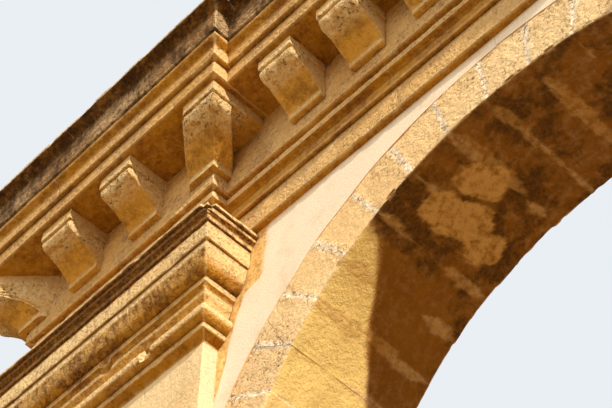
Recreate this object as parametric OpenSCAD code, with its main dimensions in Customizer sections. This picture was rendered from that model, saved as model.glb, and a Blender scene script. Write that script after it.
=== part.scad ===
// Single-bay triumphal arch of weathered limestone. Two deep piers carry pilaster shafts with
// moulded capitals, a round arch springs between them, and one entablature on scroll consoles
// runs round the whole and breaks forward over each pier.
// +Z is up, X runs along the front, and -Y faces the viewer. The origin is on the ground in the
// middle of the archway. A size called "out" is measured outwards from the face of a pier's shaft.

/* [Archway] */
// Clear width of the archway
opening_w = 4400; // [3800:50:5000]
// Height of the springing line above the ground
springing_h = 7350; // [6000:50:9000]
// Depth of the arch ring on its face
ring_t = 450; // [380:10:500]
// Wall between the crown of the ring and the architrave
crown_gap = 95; // [60:5:200]
// Thickness of the wall that holds the arch
wall_t = 980; // [700:10:1400]
// Wall strip between the archway and a pier's shaft
jamb_w = 225; // [150:5:330]

/* [Piers] */
// Width of a pier's shaft on the front
pier_w = 1665; // [1400:5:2200]
// How far a shaft stands proud of the wall
pier_out = 118; // [90:2:180]
// Height of the socle that the plinth stands on
socle_h = 260; // [150:10:400]
// Socle, out from the shaft
socle_out = 250; // [180:5:320]
// Height of the plain plinth block
plinth_h = 600; // [400:10:1000]
// Plinth block, out from the shaft
plinth_out = 125; // [100:5:160]
// Height of the torus of the pier's base
base_torus_h = 130; // [90:5:180]
// Height of the hollow between the torus and the shaft
base_cove_h = 105; // [70:5:150]
// Fillet on the torus, out
base_fillet_out = 80; // [70:1:100]
// Height of the fillet on the torus
base_fillet_h = 35; // [20:5:60]

/* [Capital] */
// Height of the hollow between the shaft and the necking fillet
neck_rise = 35; // [20:1:45]
// Necking fillet, out
neck_out = 70; // [60:1:80]
// Necking fillet, height
neck_h = 45; // [30:1:60]
// Astragal, out
astragal_out = 130; // [110:1:145]
// Height of the astragal
astragal_h = 130; // [110:1:150]
// Foot of the hollow over the astragal, out
cove_out = 85; // [75:1:100]
// Height of the hollow over the astragal
cove_h = 90; // [60:1:120]
// Depth of the hollow over the astragal
cove_hollow = 6; // [1:1:10]
// Lower of the two fillets, out
fillet_a_out = 118; // [110:1:126]
// Height of the lower fillet
fillet_a_h = 30; // [20:1:45]
// Height of the hollow between the two fillets
cove_b_h = 30; // [20:1:45]
// Depth of that hollow
cove_b_hollow = 4; // [1:1:6]
// Upper of the two fillets, out
fillet_b_out = 148; // [138:1:158]
// Height of the upper fillet
fillet_b_h = 40; // [25:1:55]
// Ovolo, out at its top
ovolo_out = 240; // [215:1:250]
// Height of the ovolo
ovolo_h = 204; // [150:1:260]
// Abacus, out
abacus_out = 262; // [254:1:272]
// Height of the abacus
abacus_h = 160; // [120:1:220]
// Fillet on the abacus, out
abacus_fillet_out = 282; // [276:1:290]
// Height of the fillet on the abacus
abacus_fillet_h = 40; // [25:1:55]
// Upright edge over the small cyma, out
cap_edge_out = 312; // [300:1:322]
// Height of the small cyma
cap_cyma_h = 22; // [15:1:35]
// Depth of the hollow in the small cyma
cap_cyma_hollow = 3; // [1:1:5]
// Height of the upright edge
cap_edge_h = 30; // [20:1:45]
// Edge of the capital's top slab, out
slab_out = 336; // [328:1:360]
// Height of the slab's edge
slab_h = 35; // [25:1:60]
// Rise of the slab's sloping top
slab_slope_h = 30; // [20:1:60]

/* [Entablature] */
// How far the entablature breaks forward over a pier
break_out = 126; // [100:2:200]
// Lower fascia of the architrave, out
fascia_a_out = 68; // [50:1:90]
// Height of the lower fascia
fascia_a_h = 225; // [160:1:260]
// Foot of the upper fascia, out
fascia_b_out = 103; // [94:1:115]
// Height of the upper fascia's foot
fascia_b_h = 95; // [60:1:130]
// Band on top of the architrave, out
taenia_out = 152; // [138:1:160]
// Height of the small cyma under the band
taenia_cyma_h = 30; // [20:1:50]
// Depth of the two halves of that cyma
taenia_bow = 4; // [1:1:6]
// Height of the band
taenia_h = 65; // [40:1:90]
// Frieze, out
frieze_out = 194; // [170:1:205]
// Height of the frieze
frieze_h = 540; // [510:5:640]
// Lower band of the corona, out
corona_out = 590; // [575:1:610]
// Height of the corona's lower band
corona_band_h = 140; // [100:1:180]
// Lip over that band, out
lip_out = 632; // [622:1:645]
// Height of the lip
lip_h = 75; // [50:1:100]
// Cyma over the lip, out at its top
crown_out = 686; // [670:1:700]
// Height of that cyma
crown_h = 105; // [80:1:140]
// Depth of the two halves of that cyma
crown_bow = 10; // [2:1:14]
// Foot of the sima, out
sima_foot_out = 708; // [704:1:716]
// Top of the sima's tall face, out
sima_face_out = 722; // [718:1:735]
// Height of the sima's tall face
sima_face_h = 200; // [150:5:260]
// Swelling of the tall face
sima_swell = 3; // [1:1:8]
// Flare over the tall face, out
flare_out = 812; // [790:1:816]
// Height of the flare
flare_h = 40; // [25:1:70]
// Edge on top of the sima, out
top_edge_out = 820; // [818:1:850]
// Height of that edge
top_edge_h = 35; // [25:1:60]
// Rise of the weathered top over the cornice
coping_rise = 110; // [60:5:180]

/* [Consoles] */
// Width of a console
console_w = 305; // [240:5:360]
// Spacing of the two middle consoles over a pier
console_pitch = 660; // [560:10:760]
// Spacing of the consoles between the piers
recess_pitch = 568; // [500:4:640]
// Number of consoles between the piers on one side
recess_count = 6; // [4:1:7]
// Cap of a console, out
console_cap_out = 541; // [520:1:560]
// Height of a console's cap
console_cap_h = 110; // [80:2:140]
// Overhang of the cap at each side
console_cap_over = 10; // [4:1:20]
// Rounded nose of a console, out
nose_out = 530; // [500:1:535]
// Radius of the nose
nose_r = 62; // [45:1:75]
// Depth of the nose's centre below the cap
nose_drop = 43; // [20:1:44]
// Foot block of a console, out
foot_out = 241; // [230:1:260]
// Height of the foot block
foot_h = 48; // [30:2:80]
// Hollow of the sweep between the nose and the foot
sweep_hollow = 17; // [5:1:30]
// Plain frieze left under a console
console_lift = 123; // [80:1:160]
// Narrowing of a corner console at its foot, on each face
console_taper = 60; // [10:5:90]

/* [Hidden] */
$fn = 360;

// Plan of the left pier and the wall
radius = opening_w / 2;
pier_x1 = -(radius + jamb_w);
pier_x0 = pier_x1 - pier_w;
wall_half = wall_t / 2;
pier_half = wall_half + pier_out;
recess_half = pier_half - break_out;
reach = pier_w + pier_half + top_edge_out;

// Levels of the courses
base_z = socle_h + plinth_h;
shaft_z = base_z + base_torus_h + base_fillet_h + base_cove_h;
architrave_z = springing_h + radius + ring_t + crown_gap;
frieze_z = architrave_z + fascia_a_h + fascia_b_h + taenia_cyma_h + taenia_h;
corona_z = frieze_z + frieze_h;
sima_z = corona_z + corona_band_h + lip_h + crown_h;
coping_z = sima_z + sima_face_h + flare_h + top_edge_h;

// Points of an ellipse's arc round c, from angle a to angle b
function arc(c, rx, ry, a, b, n = 8) =
    [for (i = [0:n]) let (t = a + (b - a) * i / n) [c[0] + rx * cos(t), c[1] + ry * sin(t)]];
// Points of a shallow curve from a to b whose middle lies s to the left of the chord
function bow(a, b, s, n = 6) =
    let (d = b - a, m = (a + b) / 2 + 2 * s * [-d[1], d[0]] / norm(d))
    [for (i = [0:n]) let (t = i / n) (1 - t) * (1 - t) * a + 2 * t * (1 - t) * m + t * t * b];
// Points of a cyma from a to b: hollow below and round above
function cyma(a, b, s) =
    let (m = (a + b) / 2)
    concat(bow(a, m, s), bow(m, b, -s));

// Profiles, as points of out and up from the foot of the course
socle_profile = [[socle_out, 0], [socle_out, socle_h]];
plinth_profile = [[plinth_out, 0], [plinth_out, plinth_h]];
torus_r = base_torus_h / 2;
torus_in = plinth_out - torus_r;
base_cove_z = base_torus_h + base_fillet_h;
base_profile = concat(
    arc([torus_in, torus_r], torus_r, torus_r, -90, 90),
    [[base_fillet_out, base_torus_h], [base_fillet_out, base_cove_z]],
    arc([base_fillet_out, base_cove_z + base_cove_h], base_fillet_out, base_cove_h, -90, -180));

astragal_z = neck_rise + neck_h;
cove_z = astragal_z + astragal_h;
fillet_a_z = cove_z + cove_h;
cove_b_z = fillet_a_z + fillet_a_h;
fillet_b_z = cove_b_z + cove_b_h;
ovolo_z = fillet_b_z + fillet_b_h;
abacus_z = ovolo_z + ovolo_h;
abacus_fillet_z = abacus_z + abacus_h;
cap_cyma_z = abacus_fillet_z + abacus_fillet_h;
cap_edge_z = cap_cyma_z + cap_cyma_h;
slab_z = cap_edge_z + cap_edge_h;
slab_top = slab_z + slab_h;
capital_h = slab_top + slab_slope_h;
capital_z = architrave_z - capital_h;
capital_profile = concat(
    arc([neck_out, 0], neck_out, neck_rise, 180, 90),
    arc([neck_out, astragal_z + astragal_h / 2], astragal_out - neck_out, astragal_h / 2, -90, 90),
    bow([cove_out, cove_z], [fillet_a_out, fillet_a_z], cove_hollow),
    bow([fillet_a_out, cove_b_z], [fillet_b_out, fillet_b_z], cove_b_hollow),
    arc([fillet_b_out, abacus_z], ovolo_out - fillet_b_out, ovolo_h, -90, 0),
    [[abacus_out, abacus_z], [abacus_out, abacus_fillet_z], [abacus_fillet_out, abacus_fillet_z]],
    bow([abacus_fillet_out, cap_cyma_z], [cap_edge_out, cap_edge_z], cap_cyma_hollow),
    [[cap_edge_out, slab_z], [slab_out, slab_z], [slab_out, slab_top]],
    [[fascia_a_out, capital_h], [0, capital_h]]);

taenia_cyma_z = fascia_a_h + fascia_b_h;
taenia_z = taenia_cyma_z + taenia_cyma_h;
architrave_profile = concat(
    [[fascia_a_out, 0], [fascia_a_out, fascia_a_h], [fascia_b_out, fascia_a_h]],
    cyma([fascia_b_out, taenia_cyma_z], [taenia_out, taenia_z], taenia_bow),
    [[taenia_out, taenia_z + taenia_h]]);
frieze_profile = [[frieze_out, 0], [frieze_out, frieze_h]];

lip_z = corona_band_h;
crown_z = lip_z + lip_h;
corona_profile = concat(
    [[corona_out, 0], [corona_out, lip_z], [lip_out, lip_z]],
    cyma([lip_out, crown_z], [crown_out, crown_z + crown_h], crown_bow));

flare_z = sima_face_h;
sima_top_z = flare_z + flare_h;
sima_profile = concat(
    bow([sima_foot_out, 0], [sima_face_out, flare_z], -sima_swell),
    arc([flare_out, flare_z], flare_out - sima_face_out, flare_h, 180, 90),
    [[top_edge_out, sima_top_z], [top_edge_out, sima_top_z + top_edge_h]]);

coping_edge = 20;
coping_in = -wall_half / 2;
coping_out = top_edge_out - coping_edge;
coping_profile = [[coping_out, 0], [coping_out, coping_edge], [coping_in, coping_rise]];
coping_x1 = pier_x1 + coping_out;

// Levels on a console, and its outline in front of the frieze
console_z0 = frieze_z + console_lift;
console_cap_z = corona_z - console_cap_h;
nose_c = [nose_out - nose_r, console_cap_z - nose_drop];
nose_top = asin(nose_drop / nose_r);
sweep_angle = -98;
sweep_a = [foot_out, console_z0 + foot_h];
sweep_b = nose_c + nose_r * [cos(sweep_angle), sin(sweep_angle)];
console_curve = concat(
    [[foot_out, console_z0]], bow(sweep_a, sweep_b, sweep_hollow),
    arc(nose_c, nose_r, nose_r, -90, nose_top),
    [[nose_c[0] + nose_r * cos(nose_top), corona_z]]);
cap_curve = [[console_cap_out, console_cap_z], [console_cap_out, corona_z]];
body_foot = console_w - console_taper;
body_end = break_out + foot_out - frieze_out;
cap_half = console_w + console_cap_over;

// Outline in one plane that has the profile on both of its sides
function both_sides(lo, hi, profile, z) = concat(
    [for (p = profile) [hi + p[0], z + p[1]]],
    [for (i = [len(profile) - 1:-1:0]) [lo - profile[i][0], z + profile[i][1]]]);
// Outline that has the profile on its low side and ends square at the line v = back
function low_side(lo, back, profile) = concat(
    [[back, profile[0][1]]],
    [for (p = profile) [lo - p[0], p[1]]],
    [[back, profile[len(profile) - 1][1]]]);

module along_x(x0, x1, points)
    translate([x0, 0, 0]) rotate([90, 0, 90]) linear_extrude(x1 - x0) polygon(points);
module along_y(y0, y1, points)
    translate([0, y1, 0]) rotate([90, 0, 0]) linear_extrude(y1 - y0) polygon(points);
module block(x0, x1, half, z0, z1)
    translate([x0, -half, z0]) cube([x1 - x0, 2 * half, z1 - z0]);
module on_right() mirror([1, 0, 0]) children();
module at_rear() mirror([0, 1, 0]) children();

// A moulded course round a rectangle, with mitred corners
module wrap(x0, x1, half, profile, z)
    intersection() {
        along_x(x0 - reach, x1 + reach, both_sides(-half, half, profile, z));
        along_y(-reach, reach, both_sides(x0, x1, profile, z));
    }
module pier_course(profile, z) wrap(pier_x0, pier_x1, pier_half, profile, z);
// The same course between the piers, cut back to their returns
module centre_course(profile, z)
    difference() {
        along_x(pier_x1, -pier_x1, both_sides(-recess_half, recess_half, profile, z));
        pier_course(profile, z);
        on_right() pier_course(profile, z);
    }

// Lower parts of a pier, round the shaft and the jamb together
module foot_course(profile, z) {
    pier_course(profile, z);
    wrap(pier_x1, -radius, wall_half, profile, z);
}
module socle() color([0.78, 0.67, 0.50]) foot_course(socle_profile, 0);
module plinth() color([0.83, 0.72, 0.53]) foot_course(plinth_profile, socle_h);
module pier_base() color([0.86, 0.75, 0.56]) foot_course(base_profile, base_z);
module shaft() color([0.90, 0.80, 0.62]) block(pier_x0, pier_x1, pier_half, shaft_z, capital_z);
module jamb() color([0.88, 0.76, 0.56]) block(pier_x1, -radius, wall_half, shaft_z, springing_h);

// The capital goes round the shaft and dies into the wall on its inner side
module capital()
    color([0.92, 0.82, 0.64]) difference() {
        pier_course(capital_profile, capital_z);
        block(pier_x1, 0, wall_half, capital_z - neck_h, architrave_z + neck_h);
    }

// Arch ring from angle a to angle b, seen from the front
module ring(a, b)
    color([0.86, 0.72, 0.48]) intersection() {
        translate([0, wall_half, springing_h]) rotate([90, 0, 0]) difference() {
            cylinder(r = radius + ring_t, h = wall_t);
            translate([0, 0, -wall_t]) cylinder(r = radius, h = 3 * wall_t);
        }
        along_y(-wall_half, wall_half, [
            [0, springing_h],
            [2 * radius * cos(a), springing_h + 2 * radius * sin(a)],
            [2 * radius * cos((a + b) / 2), springing_h + 2 * radius * sin((a + b) / 2)],
            [2 * radius * cos(b), springing_h + 2 * radius * sin(b)]]);
        block(pier_x1, -pier_x1, wall_half, springing_h, architrave_z);
    }

module spandrel()
    color([0.95, 0.87, 0.77]) difference() {
        block(pier_x1, 0, wall_half, springing_h, architrave_z);
        translate([0, wall_t, springing_h]) rotate([90, 0, 0])
            cylinder(r = radius + ring_t, h = 2 * wall_t);
    }

module architrave_pier() color([0.78, 0.62, 0.40]) pier_course(architrave_profile, architrave_z);
module architrave_centre() color([0.78, 0.62, 0.40]) centre_course(architrave_profile, architrave_z);
module frieze_pier() color([0.80, 0.66, 0.46]) pier_course(frieze_profile, frieze_z);
module frieze_centre() color([0.80, 0.66, 0.46]) centre_course(frieze_profile, frieze_z);

// A console in the middle of a front, its wall face on the line half + frieze_out
module console(x, half) {
    front = -(half + frieze_out);
    along_x(x - console_w / 2, x + console_w / 2, low_side(-half, front, console_curve));
    along_x(x - console_w / 2 - console_cap_over, x + console_w / 2 + console_cap_over,
        low_side(-half, front, cap_curve));
}
// Front of a console set across a corner: half its width on a face at the foot and at the cap
function lane(foot_lo, foot_hi, cap_lo, cap_hi) = [
    [foot_lo / sqrt(2), console_z0], [foot_hi / sqrt(2), console_z0],
    [cap_hi / sqrt(2), console_cap_z], [cap_hi / sqrt(2), corona_z],
    [cap_lo / sqrt(2), corona_z], [cap_lo / sqrt(2), console_cap_z]];
// Front inner corner of a pier, filled out to a curve on both faces
module corner(curve, front)
    intersection() {
        along_x(pier_x0, pier_x1 + reach, low_side(-pier_half, 0, curve));
        on_right() along_y(-reach, reach, low_side(-pier_x1, (pier_w / 2) - pier_x1, curve));
        translate([pier_x1, -pier_half, 0]) rotate([0, 0, 45]) along_y(-reach, reach, front);
    }
module frieze_mass() {
    block(pier_x0 - frieze_out, pier_x1 + frieze_out, pier_half + frieze_out, frieze_z, corona_z);
    block(pier_x1, 0, recess_half + frieze_out, frieze_z, corona_z);
}
// Console set across the corner where the entablature steps back to the wall
module inner_corner_console()
    difference() {
        union() {
            corner(console_curve, lane(-body_foot, body_end, -console_w, body_end));
            corner(cap_curve, lane(-cap_half, reach, -cap_half, reach));
        }
        frieze_mass();
    }
// Console set across the free corner at the end of the arch
module outer_corner_console()
    translate([pier_x0 + pier_x1, 0, 0]) on_right() difference() {
        union() {
            corner(console_curve, lane(-body_foot, body_foot, -console_w, console_w));
            corner(cap_curve, lane(-cap_half, cap_half, -cap_half, cap_half));
        }
        block(pier_x0 - frieze_out, pier_x1 + frieze_out, pier_half + frieze_out, frieze_z, corona_z);
    }
module consoles_pier()
    color([0.82, 0.64, 0.38]) {
        outer_corner_console();
        for (s = [-1, 1]) console((pier_x0 + pier_x1) / 2 + s * console_pitch / 2, pier_half);
        inner_corner_console();
    }
module consoles_centre()
    color([0.82, 0.64, 0.38])
        for (i = [0:recess_count - 1]) console((i - (recess_count - 1) / 2) * recess_pitch, recess_half);
module console_end()
    color([0.82, 0.64, 0.38]) translate([pier_x0, 0, 0]) rotate([0, 0, -90]) console(0, 0);

module corona_pier() color([0.76, 0.63, 0.46]) pier_course(corona_profile, corona_z);
module corona_centre() color([0.76, 0.63, 0.46]) centre_course(corona_profile, corona_z);
module sima_pier() color([0.55, 0.44, 0.32]) pier_course(sima_profile, sima_z);
module sima_centre() color([0.55, 0.44, 0.32]) centre_course(sima_profile, sima_z);
// The weathered top is hipped at the free ends and runs through between the piers
module coping_pier()
    color([0.70, 0.62, 0.48]) intersection() {
        wrap(pier_x0, -pier_x0, pier_half, coping_profile, coping_z);
        block(pier_x0 - reach, coping_x1, reach, coping_z, coping_z + coping_rise);
    }
module coping_centre()
    color([0.70, 0.62, 0.48])
        along_x(coping_x1, -coping_x1, both_sides(-recess_half, recess_half, coping_profile, coping_z));

socle();  // socle_left
on_right() socle();  // socle_right
plinth();  // plinth_left
on_right() plinth();  // plinth_right
pier_base();  // pier_base_left
on_right() pier_base();  // pier_base_right
shaft();  // shaft_left
on_right() shaft();  // shaft_right
jamb();  // jamb_left
on_right() jamb();  // jamb_right
capital();  // capital_left
on_right() capital();  // capital_right
ring(144, 180);  // ring_springer_left
ring(108, 144);  // ring_haunch_left
ring(72, 108);  // ring_crown
ring(36, 72);  // ring_haunch_right
ring(0, 36);  // ring_springer_right
spandrel();  // spandrel_left
on_right() spandrel();  // spandrel_right
architrave_pier();  // architrave_left
architrave_centre();
on_right() architrave_pier();  // architrave_right
frieze_pier();  // frieze_left
frieze_centre();
on_right() frieze_pier();  // frieze_right
consoles_pier();  // consoles_front_left
consoles_centre();  // consoles_front_centre
on_right() consoles_pier();  // consoles_front_right
at_rear() consoles_pier();  // consoles_rear_left
at_rear() consoles_centre();  // consoles_rear_centre
at_rear() on_right() consoles_pier();  // consoles_rear_right
console_end();  // console_end_left
on_right() console_end();  // console_end_right
corona_pier();  // corona_left
corona_centre();
on_right() corona_pier();  // corona_right
sima_pier();  // sima_left
sima_centre();
on_right() sima_pier();  // sima_right
coping_pier();  // coping_left
coping_centre();
on_right() coping_pier();  // coping_right
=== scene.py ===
import math

import bmesh
import bpy
import numpy as np
from mathutils import Matrix, Vector


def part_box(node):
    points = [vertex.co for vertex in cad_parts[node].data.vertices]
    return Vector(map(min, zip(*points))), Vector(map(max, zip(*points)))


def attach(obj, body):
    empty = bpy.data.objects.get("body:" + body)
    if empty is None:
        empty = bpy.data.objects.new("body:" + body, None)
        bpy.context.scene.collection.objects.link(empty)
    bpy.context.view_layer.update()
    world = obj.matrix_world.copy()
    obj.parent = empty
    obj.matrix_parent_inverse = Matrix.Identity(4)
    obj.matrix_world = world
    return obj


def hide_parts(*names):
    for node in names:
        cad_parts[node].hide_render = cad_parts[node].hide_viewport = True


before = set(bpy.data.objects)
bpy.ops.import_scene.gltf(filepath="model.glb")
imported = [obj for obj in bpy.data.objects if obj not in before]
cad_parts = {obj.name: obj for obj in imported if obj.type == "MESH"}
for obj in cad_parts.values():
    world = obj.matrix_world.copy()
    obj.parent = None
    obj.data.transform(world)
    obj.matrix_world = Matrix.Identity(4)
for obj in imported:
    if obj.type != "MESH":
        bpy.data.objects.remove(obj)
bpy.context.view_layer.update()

# Camera fitted to the edges of the cornice, the ring and the wall
PHOTO_W = 612
FOCAL_PX = 1600
SENSOR_MM = 36
CAMERA_AT = Vector((2.701, -4.683, 1.582))
CAMERA_RIGHT = Vector((0.70005, 0.71407, 0.00525))
CAMERA_UP = Vector((0.57762, -0.57057, 0.58379))
CAMERA_BACK = Vector((0.41986, -0.40565, -0.81189))

# Plan of the arch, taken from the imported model
(PIER_X0, _, _), (PIER_X1, PIER_HALF, CAPITAL_Z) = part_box("shaft_left")
(_, _, _), (JAMB_X1, WALL_HALF, SPRING_Z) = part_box("jamb_left")
RADIUS = -JAMB_X1
ARCHITRAVE_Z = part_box("architrave_left")[0][2]
RING_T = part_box("ring_crown")[1][2] - SPRING_Z - RADIUS
TAENIA_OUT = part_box("architrave_left")[1][1] - PIER_HALF
RECESS_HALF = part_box("architrave_centre")[1][1] - TAENIA_OUT
PIER_MID = (PIER_X0 + PIER_X1) / 2

# Spacing of points along a course, reach of a worn arris on each face, half width of a joint
STEP = 0.035
ARRIS = 0.005
JOINT = 0.006
# A worn arris takes at most this share of the faces beside it
ARRIS_SHARE = 0.35
# No joint lies closer than this to the end of a run
JOINT_CLEAR = 0.08
# Between its corners a course has a core with square rows, if that is long enough
CORE_CLEAR = 0.006
CORE_MIN = 0.3
# Points closer than SAME are one, and what stands out by less than FLUSH is flush
SAME = 1e-5
FLUSH = 1e-4
# Turn in radians that makes an arris or a corner, and sine of a turn that is none
SHARP = 0.45
STRAIGHT = 0.004
# Outlines are read this far off a node's middle, clear of the edges there
OFF_MIDDLE = 0.0137


# Camera, lamps, world and floor

def new_object(name, data):
    thing = bpy.data.objects.new(name, data)
    bpy.context.scene.collection.objects.link(thing)
    return thing


def add_camera():
    data = bpy.data.cameras.new("camera")
    data.sensor_width = SENSOR_MM
    data.lens = SENSOR_MM * FOCAL_PX / PHOTO_W
    data.clip_start = 0.05
    data.clip_end = 500
    camera = new_object("camera", data)
    rows = Matrix((CAMERA_RIGHT, CAMERA_UP, CAMERA_BACK)).transposed()
    camera.matrix_world = Matrix.Translation(CAMERA_AT) @ rows.to_4x4()
    bpy.context.scene.camera = camera


def add_sun(name, direction, strength, colour, angle):
    data = bpy.data.lights.new(name, "SUN")
    data.energy = strength
    data.color = colour
    data.angle = angle
    turn = Vector(direction).to_track_quat("Z", "Y")
    new_object(name, data).rotation_euler = turn.to_euler()


def put(tree, value, socket):
    """Links an output to a socket, or gives the socket a value."""
    if isinstance(value, bpy.types.NodeSocket):
        tree.links.new(value, socket)
    else:
        socket.default_value = value


def add_node(tree, kind, inputs=(), **settings):
    """A new node with its settings, then with a value or a link at each of its inputs."""
    node = tree.nodes.new(kind)
    for key, value in settings.items():
        setattr(node, key, value)
    for key, value in dict(inputs).items():
        put(tree, value, node.inputs[key])
    return node


def seen_rays(tree):
    """1 for rays that come straight from the camera, by gloss or through glass."""
    path = add_node(tree, "ShaderNodeLightPath")
    total = path.outputs["Is Camera Ray"]
    for name in ("Is Glossy Ray", "Is Transmission Ray"):
        inputs = {0: total, 1: path.outputs[name]}
        total = add_node(tree, "ShaderNodeMath", inputs, operation="MAXIMUM").outputs[0]
    return total


def add_world(fill, strength, background):
    world = bpy.data.worlds.new("world")
    world.use_nodes = True
    tree = world.node_tree
    soft = tree.nodes["Background"]
    soft.inputs[0].default_value = (*fill, 1)
    soft.inputs[1].default_value = strength
    seen = add_node(tree, "ShaderNodeBackground", {0: (*background, 1), 1: 1})
    inputs = {0: seen_rays(tree), 1: soft.outputs[0], 2: seen.outputs[0]}
    mix = add_node(tree, "ShaderNodeMixShader", inputs)
    put(tree, mix.outputs[0], tree.nodes["World Output"].inputs[0])
    bpy.context.scene.world = world


def add_floor(size, seen, bounce):
    mesh = bpy.data.meshes.new("floor")
    s = size / 2
    mesh.from_pydata([(-s, -s, 0), (s, -s, 0), (s, s, 0), (-s, s, 0)], [], [(0, 1, 2, 3)])
    floor = new_object("floor", mesh)
    material = bpy.data.materials.new("floor")
    material.use_nodes = True
    tree = material.node_tree
    shader = tree.nodes["Principled BSDF"]
    inputs = {0: seen_rays(tree), 6: (*bounce, 1), 7: (*seen, 1)}
    mix = add_node(tree, "ShaderNodeMix", inputs, data_type="RGBA")
    put(tree, mix.outputs[2], shader.inputs["Base Color"])
    shader.inputs["Roughness"].default_value = 0.95
    mesh.materials.append(material)


# Noise on arrays of points, whose last axis holds x, y and z

def lattice(ix, iy, iz, seed):
    h = ix * 374761393 + iy * 668265263 + iz * 1440662683 + seed * 1274126177
    h = (h ^ (h >> 13)) & 0xFFFFFFFF
    h = (h * 1103515245) & 0xFFFFFFFF
    h = h ^ (h >> 16)
    return (h & 0xFFFFFF) / 0x7FFFFF - 1.0


def noise(points, scale, seed):
    """Smooth noise from -1 to 1; scale is the number of cells per metre."""
    p = points * scale
    cell = np.floor(p).astype(np.int64)
    f = p - cell
    f = f * f * (3 - 2 * f)
    total = np.zeros(points.shape[:-1])
    for corner in range(8):
        o = np.array([corner & 1, corner >> 1 & 1, corner >> 2 & 1])
        w = np.prod(np.where(o, f, 1 - f), axis=-1)
        c = cell + o
        total += w * lattice(c[..., 0], c[..., 1], c[..., 2], seed)
    return total


def layers(points, scale, count, seed):
    total, weight, norm = 0.0, 1.0, 0.0
    for k in range(count):
        total = total + weight * noise(points, scale * 2.1 ** k, seed + 17 * k)
        norm += weight
        weight *= 0.5
    return total / norm


def ramp(x, low, high):
    t = np.clip((x - low) / (high - low), 0, 1)
    return t * t * (3 - 2 * t)


# Outlines of the moulded courses, read off the CAD nodes

def section(name, x, half):
    """The front half of a node's outline at x, as (out, z) from its foot to its top."""
    bm = bmesh.new()
    bm.from_mesh(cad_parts[name].data)
    bmesh.ops.remove_doubles(bm, verts=bm.verts, dist=SAME)
    cut = bmesh.ops.bisect_plane(bm, geom=bm.verts[:] + bm.edges[:] + bm.faces[:],
                                 plane_co=(x, 0, 0), plane_no=(1, 0, 0))
    link = {}
    for e in cut["geom_cut"]:
        if isinstance(e, bmesh.types.BMEdge):
            a, b = e.verts
            link.setdefault(a, []).append(b)
            link.setdefault(b, []).append(a)
    start = min(link, key=lambda v: (round(v.co.z, 4), v.co.y))
    walk, before = [start], None
    while True:
        ahead = [v for v in link[walk[-1]] if v is not before]
        before = walk[-1]
        if not ahead or ahead[0] is start:
            break
        walk.append(ahead[0])
    loop = [(v.co.y, v.co.z) for v in walk]
    bm.free()
    area = sum(a[0] * b[1] - b[0] * a[1] for a, b in zip(loop, loop[1:] + loop[:1]))
    if area > 0:
        loop.reverse()
    k = next(i for i in range(len(loop)) if loop[i][0] < 0 <= loop[i - 1][0])
    loop = loop[k:] + loop[:k]
    chain = [np.array((-y - half, z)) for y, z in loop if y < 0]
    chain = [np.array((0.0, chain[0][1]))] + [p for p in chain if p[0] > FLUSH]
    chain.append(np.array((0.0, chain[-1][1])))
    kept = [chain[0]]
    for i in range(1, len(chain) - 1):
        a, b = chain[i] - kept[-1], chain[i + 1] - chain[i]
        if np.linalg.norm(b) < SAME:
            continue
        if abs(a[0] * b[1] - a[1] * b[0]) > STRAIGHT * np.linalg.norm(a) * np.linalg.norm(b):
            kept.append(chain[i])
    kept.append(chain[-1])
    return kept


def refine(chain, step):
    """The outline with worn arrises and short steps; and 1 on an arris, -1 in a corner."""
    points, edge = [chain[0]], [0.0]
    for i in range(1, len(chain) - 1):
        a, b = chain[i] - chain[i - 1], chain[i + 1] - chain[i]
        la, lb = np.linalg.norm(a), np.linalg.norm(b)
        turn = math.atan2(a[0] * b[1] - a[1] * b[0], a @ b)
        r = min(ARRIS, ARRIS_SHARE * la, ARRIS_SHARE * lb)
        before, after = chain[i] - a / la * r, chain[i] + b / lb * r
        if turn > SHARP:
            points += [before, after]
            edge += [1.0, 1.0]
        elif turn < -SHARP:
            points += [before, chain[i], after]
            edge += [-0.4, -1.0, -0.4]
        else:
            points.append(chain[i])
            edge.append(0.0)
    points.append(chain[-1])
    edge.append(0.0)
    out, flags = [points[0]], [edge[0]]
    for i in range(1, len(points)):
        p, q = points[i - 1], points[i]
        n = 1 if i == len(points) - 1 else math.ceil(np.linalg.norm(q - p) / step)
        out += [p + (q - p) * k / n for k in range(1, n)] + [q]
        flags += [0.0] * (n - 1) + [edge[i]]
    return np.array(out), np.array(flags)


def marks(low, high, step, joints):
    """Positions from low to high, with three close ones at each joint: (position, depth, block)."""
    inside = sorted(j for j in joints if low + JOINT_CLEAR < j < high - JOINT_CLEAR)
    rows, block = [], 0
    ends = [low] + inside + [high]
    for a, b in zip(ends, ends[1:]):
        a1, b1 = a + JOINT * (a in inside), b - JOINT * (b in inside)
        n = max(1, math.ceil((b1 - a1) / step))
        rows += [(a1 + (b1 - a1) * k / n, 0.0, block) for k in range(n + 1)]
        if b in inside:
            rows.append((b, 1.0, block))
        block += 1
    return rows


# A path in plan is a list of corners (x, y, sx, sy): a course that stands out by d passes
# through (x + sx * d, y + sy * d)

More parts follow.
